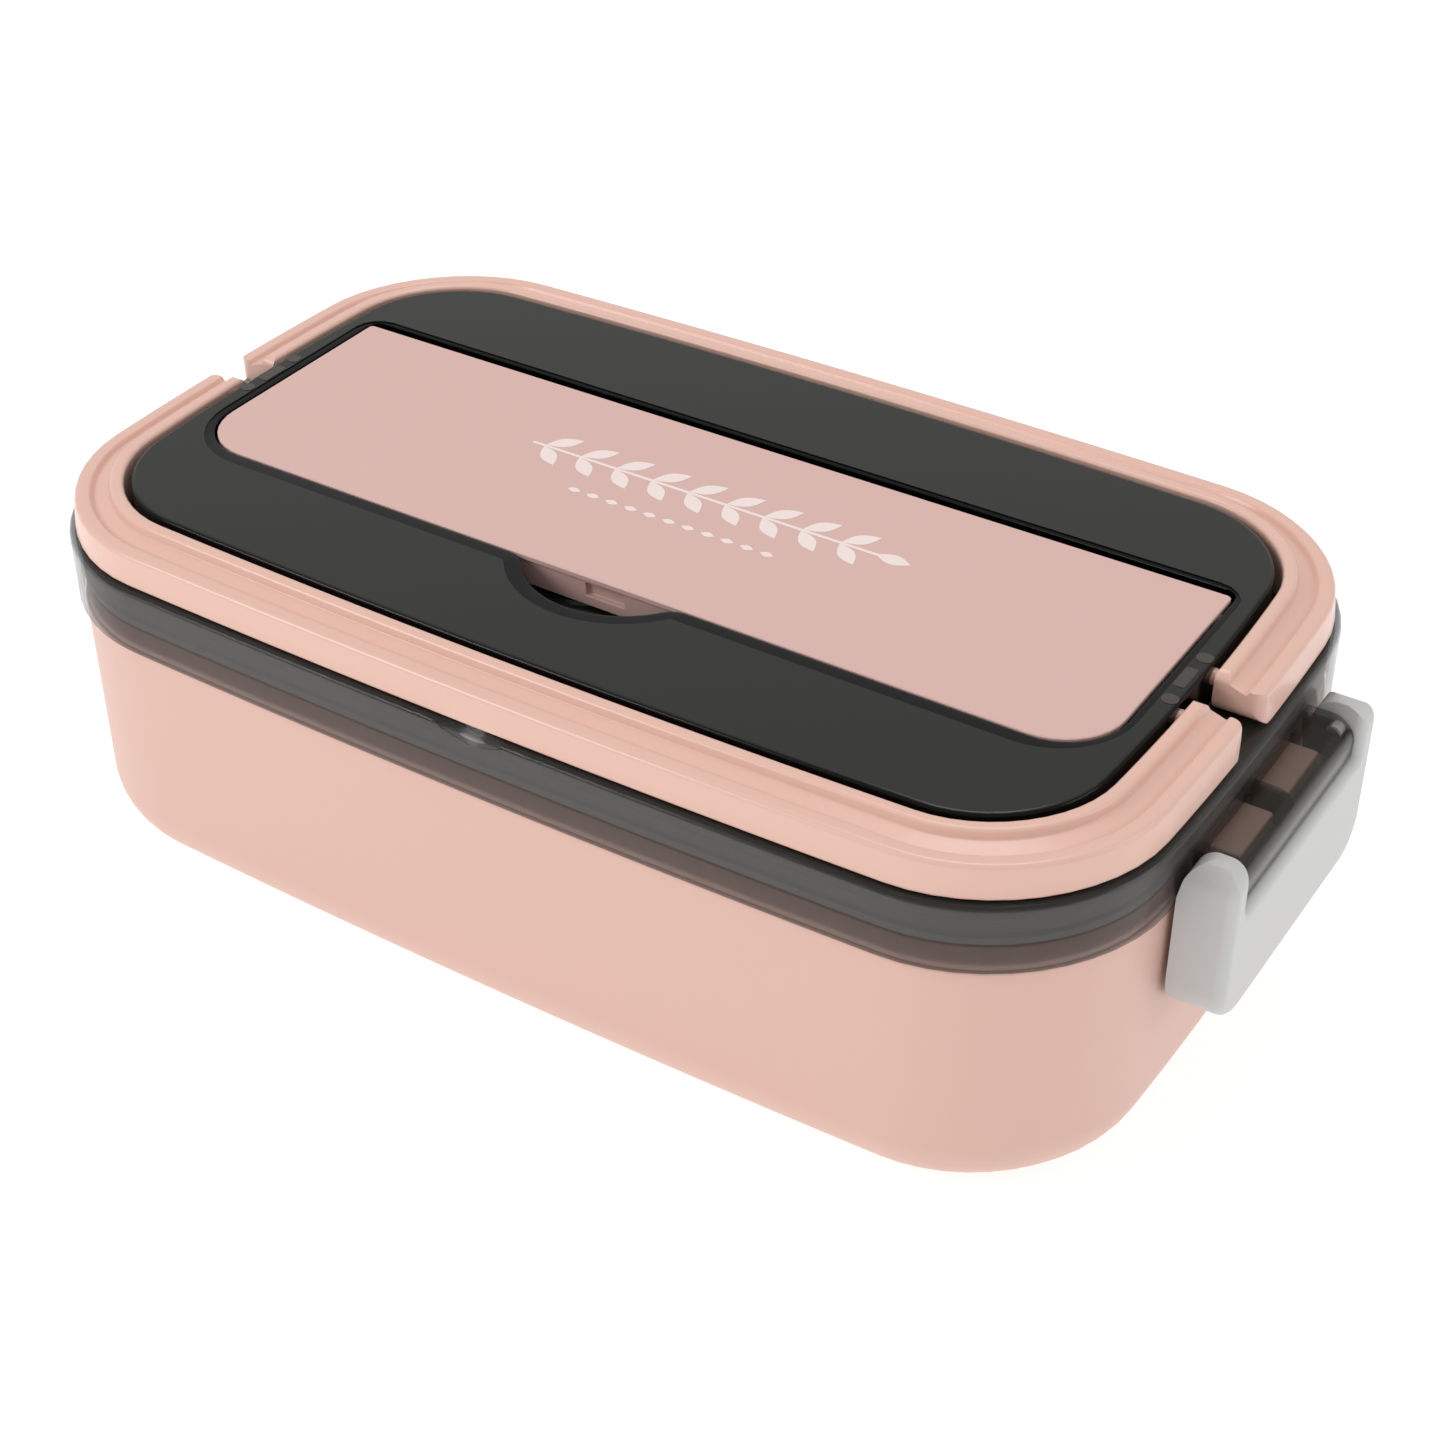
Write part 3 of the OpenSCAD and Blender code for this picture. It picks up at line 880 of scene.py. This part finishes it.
@dataclass
class Cover:
    """The hinged cover of the cutlery well, with its printed leaf ornament."""

    half_x: float = 95.75
    front: float = -27.56
    back: float = 27.26
    top: float = node_box("cover")[1].z
    plate: float = 1.2
    hinge_y: float = 22.6
    hinge_z: float = 70.6
    knuckle: float = 2.4
    pin: float = 1.3
    wall_near: float = -26.6
    wall_far: float = -25.4
    slot_low: float = 68.5
    slot_high: float = 71.1
    slot_depth: float = 1.05
    sprig: float = 38.0
    print_t: float = 0.06

    def plan(self) -> Outline:
        """Gives the plate's outline, with large front corners."""
        return Outline(corner_arcs(self.half_x, self.front, self.back, 12.0, 1.0), side_steps=2)

    def board(self) -> BMesh:
        """Makes the plate, its front wall with the finger slot, its ribs and hinge pins."""
        bm = bmesh.new()
        low = self.top - self.plate
        self.plan().loft(bm, rounded([(-0.8, low, 0), (0, low, 0.2), (0, self.top, 0.2), (-0.8, self.top, 0)]))
        self.front_wall(bm, low)
        for side in (-1, 1):
            near, far, tip = (side * x for x in (93.2, 95.0, 98.4))
            block(bm, (near, -12, 69.8), (far, 20, low), 0.2)
            block(bm, (near, self.hinge_y - self.knuckle, self.hinge_z), (far, self.hinge_y + self.knuckle, low))
            for radius, end in ((self.knuckle, far), (self.pin, tip)):
                bar(bm, Axis.X, (self.hinge_y, self.hinge_z), radius, (near, end))
        block(bm, (-90, 8, 70.2), (90, 9.5, low), 0.2)
        return bm

    def front_wall(self, bm: BMesh, high: float) -> None:
        """Adds the wall under the plate's front edge, with a blind slot for a finger nail."""
        before = set(bm.faces)
        block(bm, (-84, self.wall_near, 66.5), (84, self.wall_far, high))
        wall = [f for f in bm.faces if f not in before]
        score(bm, wall, [(Axis.X, -4), (Axis.X, 4.2), (Axis.Z, self.slot_low), (Axis.Z, self.slot_high)])
        slot = pick(bm, lambda m: abs(m.x - 0.1) < 3 and self.slot_low < m.z < self.slot_high
                    and abs(m.y - self.wall_near) < 0.01)
        sink(bm, slot, (0, self.slot_depth, 0))

    def leaf(self, bm: BMesh, root: Vector, length: float, width: float, lean: float) -> None:
        """Adds one flat pointed leaf.

        Args:
            bm: the mesh.
            root: where it leaves the stem.
            length: its length.
            width: its width.
            lean: its direction in degrees.
        """
        steps = 8
        upper = [Vector((length * k / steps, width / 2 * math.sin(math.pi * k / steps))) for k in range(steps + 1)]
        lower = [Vector((p.x, -p.y)) for p in upper[-2:0:-1]]
        turn = Matrix.Rotation(math.radians(lean), 2)
        points = [root + turn @ p for p in upper + lower]
        prism(bm, points, Axis.Z, self.top + 0.005, self.top + self.print_t)

    def ornament(self) -> BMesh:
        """Makes the printed sprig: a stem with paired leaves over a short row of small leaves."""
        bm = bmesh.new()
        centre = Vector((-1.0, 6.0))
        high = self.top + self.print_t
        block(bm, (centre.x - self.sprig, centre.y - 0.35, self.top + 0.005),
              (centre.x + self.sprig, centre.y + 0.35, high - 0.015))
        pairs = 9
        for k in range(pairs):
            root = centre + Vector((self.sprig * (2 * k / (pairs - 1) - 1) * 0.86 - 2.5, 0))
            for side in (-1, 1):
                self.leaf(bm, root + Vector((0, side * 0.3)), 7.4, 3.2, 42 * side)
        self.leaf(bm, centre + Vector((self.sprig - 0.5, 0)), 7.0, 3.2, 0)
        for k in range(-5, 6):
            self.leaf(bm, centre + Vector((k * 4.2 - 1.4, -10.5)), 2.8, 1.5, 0)
        return bm

    def build(self, shop: Shop) -> None:
        """Dresses the cover and its print."""
        shop.piece("well_cover", self.board(), Finish.COVER, Body.COVER, ["cover"], edge=0.15)
        shop.piece("cover_ornament", self.ornament(), Finish.PRINT, Body.COVER)


@dataclass
class Handle:
    """One of the two fold-up handles, a grooved half ring that lies round the plateau."""

    bottom: float = node_box("front_handle")[0].z - 0.35
    top: float = node_box("front_handle")[1].z
    gap: float = 4.0
    top_round: float = 2.2
    low_round: float = 3.2
    tip_round: float = 3.0
    pivot_y: float = 7.0
    pivot_z: float = 70.5
    pin: float = 1.5
    pin_from: float = 98.0
    pin_to: float = 104.0

    def half_ring(self, rear: bool) -> BMesh:
        """Makes the handle that runs round the front, or mirrored round the rear."""
        bm = bmesh.new()
        lip = self.top - 1.8
        section = rounded([
            (0, self.bottom, 0.3), (9.85, self.bottom, 0.8), (9.15, lip, 1.0), (6.4, lip, 0.5), (5.9, lip - 0.9, 0.3),
            (2.9, lip + 0.1, 0.4), (2.4, self.top, 0.8), (0, self.top, 0.8),
        ], closed=True)
        BOX_PLAN.loft(bm, section, closed=True)
        back, up, down = Vector((0, 1, 0)), Vector((0, 0, 1)), Vector((0, 0, -1))
        shave(bm, Vector((0, -self.gap, 0)), back)
        round_off(bm, Vector((0, -self.gap - self.top_round, self.top - self.top_round)), self.top_round, back, up)
        round_off(bm, Vector((0, -self.gap - self.low_round, self.bottom + self.low_round)),
                  self.low_round, back, down)
        tip_x = HALF_X + BOW_X + 9.6 - self.tip_round
        for way in (-1, 1):
            corner = Vector((way * tip_x, -self.gap - self.tip_round, 0))
            round_off(bm, corner, self.tip_round, back, Vector((way, 0, 0)))
        for way in (1, -1):
            bar(bm, Axis.X, (-self.pivot_y, self.pivot_z), self.pin, (way * self.pin_from, way * self.pin_to))
        if rear:
            flip(bm, Axis.Y)
        return bm

    def build(self, shop: Shop) -> None:
        """Dresses both handles."""
        shop.piece("carry_handle_front", self.half_ring(False), Finish.HANDLE, Body.FRONT_HANDLE,
                   ["front_handle"], edge=0.6)
        shop.piece("carry_handle_rear", self.half_ring(True), Finish.HANDLE, Body.REAR_HANDLE,
                   ["rear_handle"], edge=0.6)


@dataclass
class Latch:
    """A swinging latch with two knuckles beside the hood."""

    face_x: float = node_box("latch_right")[1].x
    back_x: float = 113.3
    half_y: float = node_box("latch_right")[1].y
    low: float = node_box("latch_right")[0].z
    pivot_x: float = 118.7
    pivot_z: float = 56.2
    bridge_z: float = 50.7
    knuckle_y: float = 24.4
    knuckle_r: float = 4.8
    face_round: float = 2.0
    corner: float = 8.0
    shoulder: float = 4.8
    pin: float = 1.4
    sill: float = 2.6
    pocket_top: float = 46.2
    pocket_depth: float = 7.4

    def clip(self, side: int) -> BMesh:
        """Makes a latch; side is 1 on the right and -1 on the left."""
        bm = bmesh.new()
        top = self.pivot_z + self.knuckle_r
        shape = rounded([
            (-self.half_y, self.low, self.corner), (self.half_y, self.low, self.corner),
            (self.half_y, top, self.shoulder),
            (self.knuckle_y, top, 0.4), (self.knuckle_y, self.bridge_z, 1.2),
            (-self.knuckle_y, self.bridge_z, 1.2), (-self.knuckle_y, top, 0.4),
            (-self.half_y, top, self.shoulder),
        ], closed=True)
        prism(bm, shape, Axis.X, self.back_x, self.face_x)
        self.hollow(bm)
        outer = [e for e in bm.edges if all(abs(v.co.x - self.face_x) < 0.01 for v in e.verts)]
        bmesh.ops.bevel(bm, geom=outer, offset=self.face_round, segments=6, profile=0.5, affect="EDGES",
                        material=-1)
        out, inwards, up, down = Vector((1, 0, 0)), Vector((-1, 0, 0)), Vector((0, 0, 1)), Vector((0, 0, -1))
        pivot = Vector((self.pivot_x, 0, self.pivot_z))
        round_off(bm, pivot, self.knuckle_r, out, up, 7)
        round_off(bm, pivot, self.knuckle_r, inwards, up, 7)
        round_off(bm, Vector((self.back_x + 2, 0, self.low + 2)), 2.0, inwards, down, 4)
        for way in (-1, 1):
            bar(bm, Axis.Y, (self.pivot_x, self.pivot_z), self.pin,
                (way * (self.knuckle_y - 2.5), way * (self.knuckle_y + 1)))
        if side < 0:
            flip(bm, Axis.X)
        return bm

    def hollow(self, bm: BMesh) -> None:
        """Sinks the finger pocket into the latch's back."""
        low, high, half = self.low + self.sill, self.pocket_top, self.knuckle_y - 1.0
        back = [f for f in bm.faces if all(abs(v.co.x - self.back_x) < 0.01 for v in f.verts)]
        score(bm, back, [(Axis.Z, low), (Axis.Z, high), (Axis.Y, -half), (Axis.Y, half)])
        patch = pick(bm, lambda m: abs(m.x - self.back_x) < 0.01 and low < m.z < high and abs(m.y) < half)
        sink(bm, patch, (self.pocket_depth, 0, 0))

    def build(self, shop: Shop) -> None:
        """Dresses both latches."""
        for side, body in ((1, Body.LATCH_RIGHT), (-1, Body.LATCH_LEFT)):
            shop.piece(f"clip_{body.value[6:]}", self.clip(side), Finish.LATCH, body,
                       [body.value], edge=0.3)


def rise_from(x: float, start: float, length: float) -> float:
    """Gives 0 up to start, 1 from length beyond it, and a straight rise between the two."""
    return min(1.0, max(0.0, (x - start) / length))


@dataclass
class Cutlery:
    """The spoon and the fork that lie in the well."""

    thick: float = 1.6
    grip: float = 4.0
    grip_end: float = 86.0
    least: float = 0.25
    spoon_y: float = 9.5
    fork_y: float = -11.5
    tines_from: float = 70.0

    def grip_width(self, x: float) -> float:
        """Gives half the width of a handle at x: straight, with a round end past grip_end."""
        return self.grip * math.sqrt(max(0.0, 1 - max(0.0, (x - self.grip_end) / self.grip) ** 2))

    def blade(self, columns: int, rows: int, low_x: float, high_x: float, middle_y: float,
              half_width: Callable[[float], float], height: Callable[[float, float], float],
              slots: Callable[[float, float], bool] = lambda x, share: False) -> BMesh:
        """Shapes a flat grid into a dished strip without thickness.

        Args:
            columns: grid cells along the length.
            rows: grid cells across the width.
            low_x: where the strip begins.
            high_x: where it ends.
            middle_y: the line that it lies along.
            half_width: half its width at a place along it.
            height: the height of its underside at a place and a share of the width.
            slots: whether a cell is left out.

        Returns:
            The mesh.
        """
        bm = bmesh.new()
        bmesh.ops.create_grid(bm, x_segments=columns, y_segments=rows, size=1.0)
        gone = pick(bm, lambda m: slots(low_x + (m.x + 1) / 2 * (high_x - low_x), m.y))
        bmesh.ops.delete(bm, geom=gone, context="FACES")
        for vert in bm.verts:
            along, share = (vert.co.x + 1) / 2, vert.co.y
            x = low_x + along * (high_x - low_x)
            vert.co = Vector((x, middle_y + share * half_width(x), height(x, share)))
        face_up(bm)
        return bm

    def spoon(self) -> BMesh:
        """Makes the spoon."""
        bowl_x, bowl_half, bowl_wide = -62.0, 27.0, 15.5

        def width(x: float) -> float:
            """Gives half the spoon's width: an oval bowl that runs into a round-ended handle."""
            inside = max(0.0, 1 - ((x - bowl_x) / bowl_half) ** 2)
            return max(bowl_wide * math.sqrt(inside), self.grip_width(x) * rise_from(x, -48, 10), self.least)

        def rise(x: float, share: float) -> float:
            """Gives the spoon's height: dished in the bowl and level in the handle."""
            reach = min(1.0, math.hypot((x - bowl_x) / bowl_half, share))
            return 60.2 + 2.2 * (reach ** 2) if x < -35 else 62.4

        return self.blade(90, 12, -89, 90, self.spoon_y, width, rise)

    def fork(self) -> BMesh:
        """Makes the fork."""

        def width(x: float) -> float:
            """Gives half the fork's width: a round-ended handle that widens to four tines."""
            spread = rise_from(x, 34, 20)
            return max(self.least, self.grip_width(-x) + 6.6 * spread * spread * (3 - 2 * spread))

        def rise(x: float, share: float) -> float:
            """Gives the fork's height: a dished head on a level handle."""
            dip = rise_from(x, 38, 22)
            lift = max(0.0, (x - 68) / 24)
            return 61.6 - 1.8 * dip * (1 - 0.5 * share * share) + 2.0 * lift * lift

        def slot(x: float, share: float) -> bool:
            """Says whether a cell lies between two tines."""
            band = int((share + 1) / 2 * 14) // 2
            return x > self.tines_from and band in (1, 3, 5)

        return self.blade(91, 14, -90, 92, self.fork_y, width, rise, slot)

    def build(self, shop: Shop) -> None:
        """Dresses the spoon and the fork."""
        for node, bm in (("spoon", self.spoon()), ("fork", self.fork())):
            shop.piece(f"table_{node}", bm, Finish.CUTLERY, Body.LID, [node],
                       wall=self.thick, edge=0.35)


@dataclass
class Studio:
    """The floor, the soft lights and the camera."""

    lens: float = 63.93
    azimuth: float = 32.8
    elevation: float = 36.0
    roll: float = -0.25
    distance: float = 0.49024
    target: tuple[float, float, float] = (0.00856, -0.0015, 0.030)
    floor: float = 6.0
    room_light: float = 0.62
    sensor: float = 36.0

    def build(self, shop: Shop) -> None:
        """Sets the whole studio up."""
        scene = bpy.context.scene
        scene.view_settings.view_transform = "Standard"
        self.lay_floor(shop)
        self.hang_lights()
        self.stand_camera()

    def lay_floor(self, shop: Shop) -> None:
        """Lays the plain pale floor."""
        bm = bmesh.new()
        bmesh.ops.create_grid(bm, x_segments=1, y_segments=1, size=self.floor / 2)
        mesh = bpy.data.meshes.new("floor")
        bm.to_mesh(mesh)
        bm.free()
        made = bpy.data.objects.new("floor", mesh)
        bpy.context.scene.collection.objects.link(made)
        mesh.materials.append(shop.material(Finish.FLOOR))

    def hang_lights(self) -> None:
        """Hangs a large key light, a top light and a fill, in a bright room."""
        world = bpy.data.worlds.new("bright_room")
        bpy.context.scene.world = world
        world.use_nodes = True
        back = world.node_tree.nodes["Background"]
        back.inputs["Color"].default_value = (1.0, 1.0, 1.0, 1)
        back.inputs["Strength"].default_value = self.room_light
        for name, spot, size, power in (
            ("key_light", (-0.70, -0.85, 0.75), 0.5, 4.5),
            ("top_light", (-0.1, 0.35, 1.3), 0.6, 3.4),
            ("fill_light", (1.1, 0.35, 0.6), 0.6, 1.8),
        ):
            lamp = bpy.data.lights.new(name, "AREA")
            lamp.size = size
            lamp.energy = power
            made = bpy.data.objects.new(name, lamp)
            made.location = spot
            made.rotation_euler = (Vector(self.target) - Vector(spot)).to_track_quat("-Z", "Y").to_euler()
            bpy.context.scene.collection.objects.link(made)

    def stand_camera(self) -> None:
        """Stands the camera at its place and aims it."""
        a, e = math.radians(self.azimuth), math.radians(self.elevation)
        back = Vector((math.sin(a) * math.cos(e), -math.cos(a) * math.cos(e), math.sin(e)))
        data = bpy.data.cameras.new("view_camera")
        data.lens = self.lens
        data.sensor_width = self.sensor
        data.clip_start = 0.01
        made = bpy.data.objects.new("view_camera", data)
        made.location = Vector(self.target) + back * self.distance
        aim = (-back).to_track_quat("-Z", "Y")
        made.rotation_mode = "QUATERNION"
        made.rotation_quaternion = aim @ Quaternion((0, 0, 1), math.radians(self.roll))
        bpy.context.scene.collection.objects.link(made)
        bpy.context.scene.camera = made


def main() -> None:
    """Builds the lunch box from the tub up."""
    logging.basicConfig(level=logging.INFO, format="%(name)s: %(message)s")
    shop = Shop()
    for part in (Studio(), Tub(), Lid(), Cover(), Handle(), Latch(), Cutlery()):
        part.build(shop)
        log.info("%s is built", type(part).__name__)


if __name__ == "__main__":
    main()
